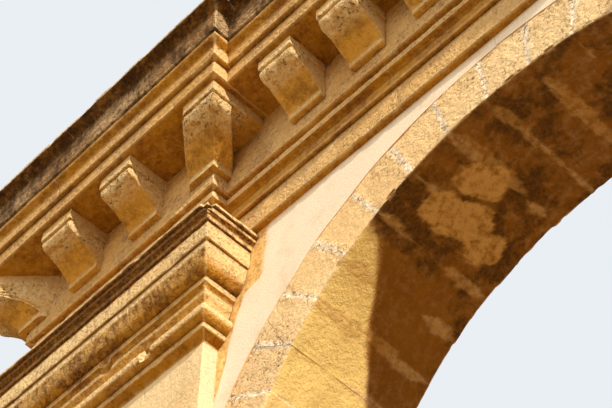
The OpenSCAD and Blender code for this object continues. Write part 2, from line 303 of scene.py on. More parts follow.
def along(path, closed, outline, step, joints, ends=None):
    """Rows of points of a course that follows the path, and each row's depth, block and arris."""
    out, z = outline[:, 0], outline[:, 1]
    ends = out if ends is None else ends
    rows, depth, block, arris = [], [], [], []
    count = len(path) if closed else len(path) - 1
    first_block = 0
    for k in range(count):
        p, q = path[k], path[(k + 1) % len(path)]
        axis = 0 if abs(q[0] - p[0]) > abs(q[1] - p[1]) else 1
        d = 1.0 if q[axis] > p[axis] else -1.0
        side = p[1 - axis] + p[3 - axis] * out if p[3 - axis] else q[1 - axis] + q[3 - axis] * out
        sharp_a, sharp_b = d * p[2 + axis] < 0, d * q[2 + axis] > 0
        a = d * (p[axis] + p[2 + axis] * ends) + ARRIS * sharp_a
        b = d * (q[axis] + q[2 + axis] * ends) - ARRIS * sharp_b
        core_a, core_b = a.max() + CORE_CLEAR, b.min() - CORE_CLEAR
        new = []
        if core_b - core_a > CORE_MIN:
            n = max(1, math.ceil((core_a - a.min()) / step))
            new += [(a + (core_a - a) * i / n, 0.0, 0, float(i == 0 and sharp_a)) for i in range(n)]
            for s, g, blk in marks(core_a, core_b, step, [d * j for j in joints[axis]]):
                new.append((np.full(len(out), s), g, blk, 0.0))
            n = max(1, math.ceil((b.max() - core_b) / step))
            last = new[-1][2]
            new += [(core_b + (b - core_b) * i / n, 0.0, last, float(i == n and sharp_b))
                    for i in range(1, n + 1)]
        else:
            n = max(2, math.ceil((b - a).max() / step))
            new = [(a + (b - a) * i / n, 0.0, 0, float(i == 0 and sharp_a or i == n and sharp_b))
                   for i in range(n + 1)]
        concave_end = d * q[2 + axis] < 0
        if concave_end and (closed or k < count - 1):
            new = new[:-1]
        for s, g, blk, arr in new:
            row = np.empty((len(out), 3))
            row[:, axis], row[:, 1 - axis], row[:, 2] = d * s, side, z
            rows.append(row)
            depth.append(g)
            block.append(first_block + blk)
            arris.append(arr)
        first_block += new[-1][2] + 1
    return np.array(rows), np.array(depth), np.array(block), np.array(arris)


# Meshes from grids of points

def make_object(name, mesh, slot, replaced):
    piece = new_object(name, mesh)
    mesh.materials.append(MATERIALS[slot])
    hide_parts(*replaced)
    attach(piece, "root")


def grids_mesh(name, grids):
    """One mesh of several grids: (rows of closed outlines, closed, values by row and column)."""
    verts, faces, values = [], [], {}
    for rows, closed, attributes in grids:
        first = sum(len(v) for v in verts)
        nj, ni = rows.shape[:2]
        index = first + np.arange(nj * ni).reshape(nj, ni)
        here = index if closed else index[:-1]
        ahead = np.roll(index, -1, 0) if closed else index[1:]
        quads = np.stack([here, np.roll(here, -1, 1), np.roll(ahead, -1, 1), ahead], -1)
        if closed:
            quads = quads[:, :-1]
            faces += [index[:, 0].tolist(), index[::-1, -1].tolist()]
        else:
            faces += [index[0][::-1].tolist(), index[-1].tolist()]
        faces += quads.reshape(-1, 4).tolist()
        verts.append(rows.reshape(-1, 3))
        for key, value in attributes.items():
            value = np.broadcast_to(np.asarray(value, np.float32), (nj, ni))
            values.setdefault(key, []).append(value.reshape(-1))
    mesh = bpy.data.meshes.new(name)
    mesh.from_pydata(np.concatenate(verts).tolist(), [], faces)
    bm = bmesh.new()
    bm.from_mesh(mesh)
    bmesh.ops.recalc_face_normals(bm, faces=bm.faces)
    bm.to_mesh(mesh)
    bm.free()
    for key, value in values.items():
        write(mesh, key, np.concatenate(value))
    return mesh


def vectors(mesh, key):
    """Place ("co") or normal of each vertex."""
    values = np.empty(len(mesh.vertices) * 3)
    mesh.vertices.foreach_get(key, values)
    return values.reshape(-1, 3)


def read(mesh, key):
    """Values of a point attribute, which are 0 if the mesh has none of that name."""
    value = np.zeros(len(mesh.vertices), np.float32)
    if key in mesh.attributes:
        mesh.attributes[key].data.foreach_get("value", value)
    return value.astype(float)


def write(mesh, key, value):
    attribute = mesh.attributes.get(key) or mesh.attributes.new(key, "FLOAT", "POINT")
    attribute.data.foreach_set("value", np.asarray(value, np.float32))


# How far a capital's top slab stands out
SLAB_OUT = 0.336
# Broken places: point, radius, and how far the stone is gone
KNOCKS = {"capital_left_stone": (
    ((PIER_X1 + SLAB_OUT, -PIER_HALF - SLAB_OUT, CAPITAL_Z + 0.88), 0.08, (-0.022, 0.022, -0.01)),
    ((-3.27, -0.76, CAPITAL_Z + 0.33), 0.07, (0.0, 0.032, 0.0)),
    ((-2.86, -0.735, CAPITAL_Z + 0.14), 0.06, (0.0, 0.045, 0.0)))}


def weather(mesh, seed, swell=0.003, rough=0.0015, wear=0.004, groove=0.007, chips=0.012):
    """Moves the points of a mesh in and out: uneven faces, worn and chipped arrises, open joints."""
    co, normal = vectors(mesh, "co"), vectors(mesh, "normal")
    edge, open_joint = read(mesh, "edge"), read(mesh, "groove")
    move = swell * layers(co, 2.3, 2, seed) + rough * layers(co, 17.0, 2, seed + 5)
    convex = np.clip(edge, 0, 1)
    move -= convex * wear * ramp(layers(co, 7.0, 2, seed + 9), -0.6, 0.7)
    chip = ramp(layers(co, 9.0, 2, seed + 13), 0.30, 0.5)
    move -= convex * chips * chip
    move -= open_joint * groove * (0.75 + 0.5 * noise(co, 8.0, seed + 21))
    move += read(mesh, "offset")
    co = co + normal * move[:, None]
    for point, reach, push in KNOCKS.get(mesh.name, ()):
        near = 1 - np.linalg.norm(co - point, axis=1) / reach
        near = near + 0.22 * layers(co, 14.0, 2, seed + 3)
        co += ramp(near, 0.0, 0.6)[:, None] * push
    co[:, 2] = np.maximum(co[:, 2], 0.0)
    mesh.vertices.foreach_set("co", co.reshape(-1))
    mesh.polygons.foreach_set("use_smooth", np.ones(len(mesh.polygons), bool))
    mesh.set_sharp_from_angle(angle=math.radians(30))
    write(mesh, "chip", convex * chip)
    mesh.update()


def block_tint(blocks, seed):
    rng = np.random.default_rng(seed)
    table = rng.uniform(0, 1, int(blocks.max()) + 1)
    return table[blocks.astype(int)]


# Bands of a course where crust, and patina with painted shade, hold: heights over its foot, crust,
# patina and painted shade
BANDS = {"capital": ((0.764, 0.872, 0.40, 0.7), (0.40, 0.54, 0.29, 0.7), (0.20, 0.30, 0.14, 0.9),
                     (0.33, 0.36, 0.18, 0.9), (0.0, 0.07, 0.12, 0.6)),
         "architrave": ((0.0, 0.225, 0.0, 0.3), (0.225, 0.345, 0.10, 0.9)),
         "frieze": ((0.0, 0.40, 0.03, 0.5), (0.40, 0.54, 0.16, 0.7)),
         "corona": ((0.01, 0.14, 0.05, 0.6), (0.14, 0.33, 0.12, 0.6)),
         "sima": ((-0.1, 0.18, 0.26, 0.6), (0.18, 0.238, 0.31, 0.6))}


def band(name, height, kind):
    amount = np.zeros(height.shape)
    for row in BANDS.get(name.split("_")[0], ()):
        inside = ramp(height, row[0] - 0.02, row[0]) * ramp(-height, -row[1] - 0.02, -row[1])
        amount = np.maximum(amount, row[kind] * inside)
    return amount


def recess_crust_and_shade(name, outline):
    """More crust and painted shade where the soffit of the corona meets the frieze."""
    inner = name.startswith("corona") * (outline[:, 1] < outline[:, 1].min() + FLUSH)
    return 0.16 * inner * ramp(-outline[:, 0], -0.42, -0.22)


def course_values(name, outline, foot, depth, block, seed):
    """Point values that a course takes from its outline and its blocks."""
    height = outline[:, 1] - foot
    crust = band(name, height, 2) + recess_crust_and_shade(name, outline)
    return {"crust": crust[None, :], "patina_and_shade": band(name, height, 3)[None, :],
            "groove": depth[:, None] * (outline[None, :, 0] > FLUSH),
            "tint": block_tint(block, seed)[:, None]}


def add_piece(name, grids, slot, seed, **wear):
    """A weathered piece made of grids; its name is its node's with one word more."""
    mesh = grids_mesh(name, grids)
    weather(mesh, seed, **wear)
    make_object(name, mesh, slot, [name.rsplit("_", 1)[0]])


def course(name, path, closed, chain, slot, seed, joints, step=STEP, **wear):
    outline, edge = refine(chain, step)
    rows, depth, block, arris = along(path, closed, outline, step, joints)
    values = course_values(name, outline, chain[0][1], depth, block, seed)
    values["edge"] = np.where(arris[:, None] > 0, 1.0, edge[None, :])
    add_piece(name, [(rows, closed, values)], slot, seed, **wear)


def spread(low, high, length, seed):
    """Joint positions about a block's length apart."""
    rng = np.random.default_rng(seed)
    at, joints = low + length * rng.uniform(0.35, 0.9), []
    while at < high - 0.3:
        joints.append(at)
        at += length * rng.uniform(0.8, 1.2)
    return joints


# Materials

def rgb(r, g, b):
    """A colour in linear light from its values on screen."""
    return tuple((c / 255) ** 2.2 for c in (r, g, b)) + (1.0,)


class Tree:
    """The nodes of one material, with a short call for each kind."""

    def __init__(self, name):
        self.material = bpy.data.materials.new(name)
        self.material.use_nodes = True
        self.tree = self.material.node_tree
        self.shader = self.tree.nodes["Principled BSDF"]
        self.place = self.add("ShaderNodeTexCoord").outputs["Object"]
        normal = self.add("ShaderNodeNewGeometry").outputs["Normal"]
        facing = self.add("ShaderNodeSeparateXYZ", {0: normal})
        self.side, self.up = facing.outputs[0], facing.outputs[2]

    def add(self, kind, inputs=(), **settings):
        return add_node(self.tree, kind, inputs, **settings)

    def math(self, operation, a, b):
        return self.add("ShaderNodeMath", {0: a, 1: b}, operation=operation).outputs[0]

    def times(self, a, b):
        return self.math("MULTIPLY", a, b)

    def plus(self, a, b):
        return self.math("ADD", a, b)

    def less(self, a, b):
        return self.math("SUBTRACT", a, b)

    def ramp(self, value, low, high, start=0.0, end=1.0):
        inputs = {"Value": value, "From Min": low, "From Max": high, "To Min": start, "To Max": end}
        node = self.add("ShaderNodeMapRange", inputs, interpolation_type="SMOOTHSTEP")
        return node.outputs["Result"]

    def mix(self, factor, a, b, blend="MIX"):
        inputs = {0: factor, 6: a, 7: b}
        return self.add("ShaderNodeMix", inputs, data_type="RGBA", blend_type=blend).outputs[2]

    def stretch(self, x, y, z):
        inputs = {"Scale": (x, y, z), "Vector": self.place}
        return self.add("ShaderNodeMapping", inputs).outputs[0]

    def noise(self, scale, detail, rough=0.55, vector=None, output="Fac"):
        inputs = {"Scale": scale, "Detail": detail, "Roughness": rough,
                  "Vector": vector or self.place}
        return self.add("ShaderNodeTexNoise", inputs).outputs[output]

    def cells(self, scale):
        inputs = {"Scale": scale, "Vector": self.place}
        return self.add("ShaderNodeTexVoronoi", inputs).outputs["Distance"]

    def cracks(self, scale):
        """1 along the edges of large bent cells."""
        bend = self.noise(2.5, 4.0, 0.5, output="Color")
        inputs = {0: bend, 1: (0.25, 0.25, 0.25), 2: self.place}
        at = self.add("ShaderNodeVectorMath", inputs, operation="MULTIPLY_ADD")
        inputs = {"Scale": scale, "Vector": at.outputs[0]}
        node = self.add("ShaderNodeTexVoronoi", inputs, feature="DISTANCE_TO_EDGE")
        return self.ramp(node.outputs["Distance"], 0.002, 0.007, 1.0, 0.0)

    def attribute(self, name):
        return self.add("ShaderNodeAttribute", attribute_name=name).outputs["Fac"]

    def bump(self, height, distance, strength, **normal):
        inputs = {"Distance": distance, "Strength": strength, "Height": height, **normal}
        return self.add("ShaderNodeBump", inputs).outputs[0]


def stone(name, light, warm, stain, under, crust, pitted, rough, speckle, top_light_paint=0.5, streaks=0.35,
          shed=0.0, cracked=0.0, joint=(205, 180, 140), plaster=None, bare=None, sunny=None,
          harsh=None, sun_side_paint=None):
    """Weathered stone; the colours that may be None are for places that only some stones have."""
    t = Tree(name)
    light, warm, stain, under, crust, joint = (
        rgb(*c) for c in (light, warm, stain, under, crust, joint))
    broad, blotch = t.noise(0.8, 4), t.noise(3.7, 6, 0.62)
    small, grain = t.noise(17.0, 6, 0.65), t.noise(75.0, 4, 0.6)
    fleck = t.noise(42.0, 6, 0.78)
    edge, worn = t.attribute("edge"), t.attribute("worn")

    # Light and warm areas, each block's tint, blotches and streaks
    colour = t.mix(t.ramp(broad, 0.38, 0.62), light, warm)
    colour = t.mix(t.times(t.attribute("tint"), 0.4), colour, warm)
    colour = t.mix(t.times(t.ramp(blotch, 0.50, 0.72), 0.55), colour, stain)
    run = t.noise(1.0, 4, 0.6, t.stretch(9.0, 9.0, 0.9))
    colour = t.mix(t.times(t.ramp(run, 0.50, 0.75), streaks), colour, stain)

    # Painted sunlight: a paler tint on sides that face the sun lamp; then harsh places; then painted
    # top light, which makes faces that look up or sideways lighter than faces that look down
    coarse, relief = speckle, small
    if sun_side_paint:
        colour = t.mix(t.times(t.ramp(t.side, 0.55, 0.85), 0.75), colour, rgb(*sun_side_paint))
    if harsh:
        coat = t.mix(t.ramp(small, 0.4, 0.65), rgb(*harsh), warm)
        colour = t.mix(t.attribute("rosy"), colour, coat)
        coarse = t.plus(speckle, t.times(worn, 0.6))
    # Painted top light: faces that look up or sideways take the light colour
    colour = t.mix(t.times(t.ramp(t.up, -0.50, -0.10), top_light_paint), colour, light)

    # Patina and painted shade on faces that look down and where a course keeps them; painted light
    # makes them less on sides that face the sun
    shady = t.ramp(t.side, 0.55, 0.85, 1.0, 0.2)
    below = t.ramp(t.times(t.up, -1.0), 0.22, 0.62)
    below = t.math("MAXIMUM", below, t.times(t.attribute("patina_and_shade"), shady))
    below = t.times(below, t.ramp(small, 0.25, 0.6, 0.8, 1.0))
    below = t.times(below, t.less(1.0, t.times(worn, shed)))
    cloud = t.plus(t.times(blotch, 0.6), t.times(small, 0.4))
    patina_and_shade = t.mix(t.ramp(cloud, 0.42, 0.64), under, stain)
    # Painted sunlight: a golden colour without patina where the sun falls on the ring's soffit
    if sunny:
        painted_sunlight = t.attribute("painted_sunlight")
        below = t.times(below, t.less(1.0, painted_sunlight))
        darker = rgb(*(0.93 * c for c in sunny))
        colour = t.mix(painted_sunlight, colour, t.mix(t.ramp(blotch, 0.45, 0.66), rgb(*sunny), darker))
    colour = t.mix(below, colour, patina_and_shade)

    # Dirt and painted shade in corners, light arrises, dark and pale flecks, cracks
    colour = t.mix(t.times(edge, -0.75), colour, crust)
    colour = t.mix(t.times(t.ramp(edge, 0.3, 1.0), 0.45), colour, light)
    dark = t.times(t.ramp(fleck, 0.53, 0.62), t.ramp(blotch, 0.40, 0.56, 0.35, 1.0))
    dark = t.times(dark, t.ramp(below, 0.2, 1.0, 1.0, 0.5))
    colour = t.mix(t.times(dark, coarse), colour, crust)
    pale = t.times(t.ramp(fleck, 0.46, 0.38), t.times(coarse, 0.5))
    colour = t.mix(t.times(pale, t.ramp(below, 0.2, 1.0, 1.0, 0.15)), colour, light)
    line = t.times(t.cracks(1.1), t.ramp(t.noise(1.4, 2), 0.54, 0.62))
    colour = t.mix(t.times(line, cracked), colour, crust)

    # Joints, the mortar left on them, and broken stone
    colour = t.mix(t.times(t.attribute("groove"), 0.6), colour, joint)
    chalk = t.mix(t.ramp(fleck, 0.50, 0.60), joint, stain)
    colour = t.mix(t.times(t.attribute("mortar"), 0.9), colour, chalk)
    colour = t.mix(t.times(t.attribute("chip"), 0.6), colour, light)

    # Black crust, in drips or in blotches
    # Painted light: crust is less on sides that face the sun lamp
    soot = t.times(t.attribute("crust"), t.ramp(shady, 0.2, 1.0, 0.6, 1.0))
    drip = blotch if sunny else t.noise(1.0, 5, 0.65, t.stretch(24.0, 24.0, 5.0))
    field = t.plus(t.times(blotch, 0.45), t.plus(t.times(small, 0.2), t.times(drip, 0.4)))
    black = t.ramp(t.plus(field, soot), 0.74, 0.88)
    mottle = t.times(t.ramp(fleck, 0.42, 0.60), 0.4 if sunny else 1.0)
    colour = t.mix(t.times(black, 0.85), colour, t.mix(mottle, crust, stain))

    # Plaster left on the stone, and a strip that has lost it
    if plaster:
        skin = t.mix(t.ramp(small, 0.42, 0.7), rgb(*plaster), stain)
        colour = t.mix(t.attribute("plaster"), colour, skin)
    if bare:
        strip = t.attribute("bare")
        colour = t.mix(strip, colour, t.mix(t.ramp(fleck, 0.44, 0.60), rgb(*bare), stain))
        relief = t.times(small, t.plus(1.0, t.times(strip, 9.0)))

    # Open pits, fine grain and relief
    holes = t.times(t.ramp(t.cells(62.0), 0.10, 0.26, 1.0, 0.0), t.ramp(small, 0.46, 0.62))
    holes = t.times(holes, pitted)
    colour = t.mix(holes, colour, crust)
    shade = t.mix(t.ramp(grain, 0.25, 0.75), (0.88, 0.86, 0.82, 1), (1, 1, 1, 1))
    put(t.tree, t.mix(1.0, colour, shade, "MULTIPLY"), t.shader.inputs["Base Color"])
    t.shader.inputs["Roughness"].default_value = 0.92
    t.shader.inputs["Specular IOR Level"].default_value = 0.25
    pocks = t.ramp(t.noise(30.0, 3, 0.55), 0.35, 0.56)
    relief = t.plus(relief, t.times(pocks, t.times(coarse, 1.1)))
    fine = t.less(t.less(grain, holes), t.times(line, 2.0 * cracked))
    normal = t.bump(fine, 0.004, 1.0, Normal=t.bump(relief, 0.030, rough))
    put(t.tree, normal, t.shader.inputs["Normal"])
    return t.material


# Colours as they show on screen, and amounts from 0 to 1
LOOKS = {
    "plinth_stone": dict(
        light=(226, 202, 160), warm=(208, 172, 120), stain=(150, 114, 68), under=(150, 106, 52),
        crust=(70, 50, 28), pitted=0.6, rough=0.6, speckle=0.5),
    "pier_stone": dict(
        light=(248, 221, 172), warm=(242, 198, 132), stain=(206, 150, 80), under=(186, 126, 44),
        crust=(92, 60, 26), pitted=0.4, rough=0.3, speckle=0.3, cracked=0.22,
        # painted sunlight: the tint of the sides that face the sun lamp
        sun_side_paint=(200, 194, 172)),
    "ring_stone": dict(
        light=(252, 220, 168), warm=(244, 196, 128), stain=(156, 102, 24), under=(140, 86, 6),
        crust=(62, 36, 4), pitted=0.5, rough=0.4, speckle=0.2, plaster=(216, 164, 94),
        sunny=(255, 217, 134), harsh=(224, 180, 132), joint=(255, 240, 214), cracked=0.3),
    "carved_stone": dict(
        light=(250, 217, 160), warm=(228, 172, 96), stain=(152, 96, 30), under=(194, 134, 26),
        crust=(54, 31, 6), pitted=0.6, rough=0.5, speckle=0.75),
    "console_stone": dict(
        light=(240, 206, 146), warm=(214, 162, 90), stain=(168, 118, 44), under=(222, 162, 62),
        crust=(50, 30, 8), pitted=0.7, rough=0.5, speckle=0.5, harsh=(250, 222, 172),
        top_light_paint=0.4, shed=0.85),
    "crusted_stone": dict(
        light=(246, 216, 170), warm=(142, 100, 54), stain=(104, 68, 28), under=(150, 102, 44),
        crust=(56, 35, 12), pitted=0.8, rough=0.7, speckle=0.8, top_light_paint=0.15),
    "plaster": dict(
        light=(251, 235, 210), warm=(249, 228, 198), stain=(206, 160, 96), under=(226, 186, 140),
        crust=(150, 112, 72), bare=(250, 206, 130), pitted=0.05, rough=0.06, streaks=0.06,
        speckle=0.04)}
MATERIALS = {name: stone(name, **look) for name, look in LOOKS.items()}


# Paths in plan, counter-clockwise from above

PIER = [(PIER_X0, -PIER_HALF, -1, -1), (PIER_X1, -PIER_HALF, 1, -1),
        (PIER_X1, PIER_HALF, 1, 1), (PIER_X0, PIER_HALF, -1, 1)]
FOOT = [PIER[0], PIER[1], (PIER_X1, -WALL_HALF, 1, -1), (JAMB_X1, -WALL_HALF, 1, -1),
        (JAMB_X1, WALL_HALF, 1, 1), (PIER_X1, WALL_HALF, 1, 1), PIER[2], PIER[3]]
CAPITAL = [(PIER_X1, WALL_HALF, 1, 0), PIER[2], PIER[3], PIER[0], PIER[1],
           (PIER_X1, -WALL_HALF, 1, 0)]
FRONT = [(PIER_X1, -RECESS_HALF, 1, -1), (-PIER_X1, -RECESS_HALF, -1, -1)]


def on_side(path, side):
    """A path of the left pier, mirrored if it is for the right one."""
    if side == "left":
        return path
    return [(-x, y, -sx, sy) for x, y, sx, sy in reversed(path)]


def pier_joints(side, length, seed):
    sign = -1 if side == "left" else 1
    across = sorted(sign * -x for x in spread(PIER_X0, PIER_X1, length, seed))
    return across, spread(-PIER_HALF, PIER_HALF, length, seed + 50)


# Courses round a pier: path, whether it closes, slot, length of a block, seed, other settings
COURSES = {
    "socle": (FOOT, True, "plinth_stone", 0.8, 3,
              dict(step=0.05, wear=0.010, swell=0.005, chips=0.025)),
    "plinth": (FOOT, True, "plinth_stone", 1.0, 13,
               dict(step=0.05, wear=0.006, swell=0.004, chips=0.02)),
    "pier_base": (FOOT, True, "pier_stone", 1.2, 23, dict(step=0.05, wear=0.004, swell=0.003)),
    "capital": (CAPITAL, False, "carved_stone", 1.3, 41, dict(wear=0.006, rough=0.0025)),
    "architrave": (PIER, True, "carved_stone", 1.1, 51, dict(wear=0.005, rough=0.002)),
    "frieze": (PIER, True, "carved_stone", 0.9, 61, dict(wear=0.003)),
    "corona": (PIER, True, "carved_stone", 1.2, 71, dict(wear=0.005)),
    "sima": (PIER, True, "crusted_stone", 1.4, 81, dict(wear=0.006, swell=0.004))}

for s, side in enumerate(("left", "right")):
    for name, (path, closed, slot, length, seed, wear) in COURSES.items():
        chain = section(name + "_left", PIER_MID + OFF_MIDDLE, PIER_HALF)
        seed += 100 * s
        course(f"{name}_{side}_stone", on_side(path, side), closed, chain, slot, seed,
               pier_joints(side, length, seed), **wear)


def centre(name, slot, seed, **wear):
    """A course between the piers: its front and its rear, up to the returns of the pier's course."""
    chain = section(name, OFF_MIDDLE, RECESS_HALF)
    outline, edge = refine(chain, STEP)
    out, z = outline[:, 0], outline[:, 1]
    foot, top = z < z.min() + FLUSH, z > z.max() - FLUSH
    ends = np.where(foot, out[foot].max(), out)
    ends = np.where(top, out[top].max(), ends)
    joints = spread(PIER_X1, -PIER_X1, 1.15, seed), ()
    grids = []
    for flip in (1, -1):
        rows, depth, block, _ = along(FRONT, False, outline, STEP, joints, ends)
        rows = rows * np.array([1, flip, 1])
        values = course_values(name, outline, z.min(), depth, block, seed + flip)
        values["edge"] = edge[None, :]
        grids.append((rows, False, values))
    add_piece(name + "_stone", grids, slot, seed, **wear)


centre("architrave_centre", "carved_stone", 301, wear=0.005, rough=0.002)
centre("frieze_centre", "carved_stone", 302, wear=0.003)
centre("corona_centre", "carved_stone", 303, wear=0.005)
centre("sima_centre", "crusted_stone", 304, wear=0.006, swell=0.004)


# Shafts and jambs: plain blocks in level courses

def plan_loop(x0, x1, half, step, joints_x, joints_y):
    """Points round a rectangle, with each point's arris and the course pattern that opens it."""
    points, arris, opens = [], [], []
    corners = [(x0, -half), (x1, -half), (x1, half), (x0, half)]
    for k in range(4):
        p, q = corners[k], corners[(k + 1) % 4]
        axis = k % 2
        d = 1.0 if q[axis] > p[axis] else -1.0
        joints = [d * j for j in (joints_y if axis else joints_x)]
        rows = marks(d * p[axis] + ARRIS, d * q[axis] - ARRIS, step, joints)
        number = 0
        for i, (s, g, _) in enumerate(rows):
            point = [0.0, 0.0]
            point[axis], point[1 - axis] = d * s, p[1 - axis]
            points.append(point)
            arris.append(float(i in (0, len(rows) - 1)))
            number += g > 0
            opens.append(1 + number % 2 if g > 0 else 0)
    return np.array(points), np.array(arris), np.array(opens)


# A pillar stops this far short of the nodes below and above it
PILLAR_GAP = 0.004


def pillar(name, slot, box, level, seed, joints_x, joints_y, step, **wear):
    """A shaft or jamb, whose upright joints change from one course to the next."""
    (x0, _, z0), (x1, half, z1) = box
    plan, arris, opens = plan_loop(x0, x1, half, step, joints_x, joints_y)
    rows = marks(z0 + PILLAR_GAP, z1 - PILLAR_GAP, step, level)
    z, bed, block = (np.array(column) for column in zip(*rows))
    grid = np.empty((len(z), len(plan), 3))
    grid[:, :, :2] = plan[None]
    grid[:, :, 2] = z[:, None]
    shut = (opens[None, :] > 0) & (opens[None, :] - 1 == block[:, None] % 2)
    values = {"edge": arris[None, :], "groove": np.maximum(bed[:, None], shut),
              "tint": block_tint(block, seed)[:, None]}
    add_piece(name, [(grid, False, values)], slot, seed, **wear)


for s, side in enumerate(("left", "right")):
    sign = -1 if side == "left" else 1
    level = spread(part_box("shaft_left")[0][2], CAPITAL_Z - 0.5, 0.55, 71 + s)
    across = [sign * (abs(PIER_MID) + o) for o in (-0.28, 0.25)]
    pillar(f"shaft_{side}_stone", "pier_stone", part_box(f"shaft_{side}"), level, 501 + s,
           across, (-0.1, 0.18), 0.06, wear=0.005, swell=0.003)
    pillar(f"jamb_{side}_stone", "ring_stone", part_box(f"jamb_{side}"), level, 511 + s,
           (), (-0.15, 0.2), 0.05, wear=0.006, swell=0.004)


# Arch ring and the plastered wall over it, both swept round the arch

# Angles in degrees from the right springing: middle of the key stone, width of a stone, joints
KEY = 89.1
STONE = 8.24
ANGLES = [a for a in (KEY + STONE * (k + 0.5) for k in range(-11, 11)) if 9 < a < 171]
SPLITS = {"ring_springer_right": (0, 36), "ring_haunch_right": (36, 72), "ring_crown": (72, 108),
          "ring_haunch_left": (108, 144), "ring_springer_left": (144, 180)}
# Spacing of points on the ring's face and soffit, and how far its parts lap over one another
RING_STEP = 0.019
RING_LAP = 0.004
# From the crown down the soffit is dark, then painted as sunlit, and less so towards the springing
DARK = 128, 118
SUNLIT = 118, 122
SPRINGING = -168, -146
# The ring's face is rough at its lower left, and from left of its crown down to the right
ROUGH_LEFT = 136, 141
ROUGH_CROWN = -116, -111
# Plaster is left along the joints of the soffit, but not at its lower left
STRIPS_END = 150, 138
# Plaster left on the soffit: angle, place across the wall, and half sizes
REMNANTS = ((103.8, -0.13, 3.2, 0.17), (111.6, -0.15, 3.3, 0.13), (109.6, 0.05, 3.3, 0.16),
            (111.8, 0.24, 3.2, 0.13), (118.0, 0.28, 1.3, 0.17), (100.6, -0.12, 1.0, 0.29),
            (93.3, -0.22, 1.0, 0.20), (84.6, -0.12, 1.2, 0.38), (126.9, -0.34, 1.3, 0.15),
            (134.1, 0.06, 1.3, 0.17), (134.8, -0.30, 1.5, 0.20))


def polar(angle, radius, y):
    a = np.radians(angle)
    return np.stack(np.broadcast_arrays(radius * np.cos(a), y, SPRING_Z + radius * np.sin(a)), -1)


def nearest_joint(angle):
    return min(ANGLES + [0.0, 180.0], key=lambda j: abs(j - angle))


def ring_loop():
    """Outline of the ring, as (radius, y, arris), from the soffit's front round to its rear."""
    r0, r1, h = RADIUS, RADIUS + RING_T, WALL_HALF
    rows = []
    for (ra, ya), (rb, yb), step in (((r0, h), (r0, -h), RING_STEP), ((r0, -h), (r1, -h), RING_STEP),
                                     ((r1, -h), (r1, h), 0.2), ((r1, h), (r0, h), STEP)):
        length = abs(rb - ra) + abs(yb - ya)
        n = math.ceil(length / step)
        for k in range(n + 1):
            t = (ARRIS + (length - 2 * ARRIS) * k / n) / length
            rows.append((ra + (rb - ra) * t, ya + (yb - ya) * t, float(k in (0, n))))
    return np.array(rows)


def remnants(angle, y, points):
    """Where plaster is left on the soffit; the narrow strips are thin."""
    wobble = 0.75 * layers(points, 6.0, 4, 77)
    left = np.zeros(wobble.shape)
    for a0, y0, ra, ry in REMNANTS + tuple((172 - a, -y, ra, ry) for a, y, ra, ry in REMNANTS[:5]):
        far = np.sqrt(((angle - a0) / ra) ** 2 + ((y - y0) / ry) ** 2)
        left = np.maximum(left, ramp(1 - far + wobble, 0.02, 0.10) * (0.5 if ra < 2 else 1.0))
    return left


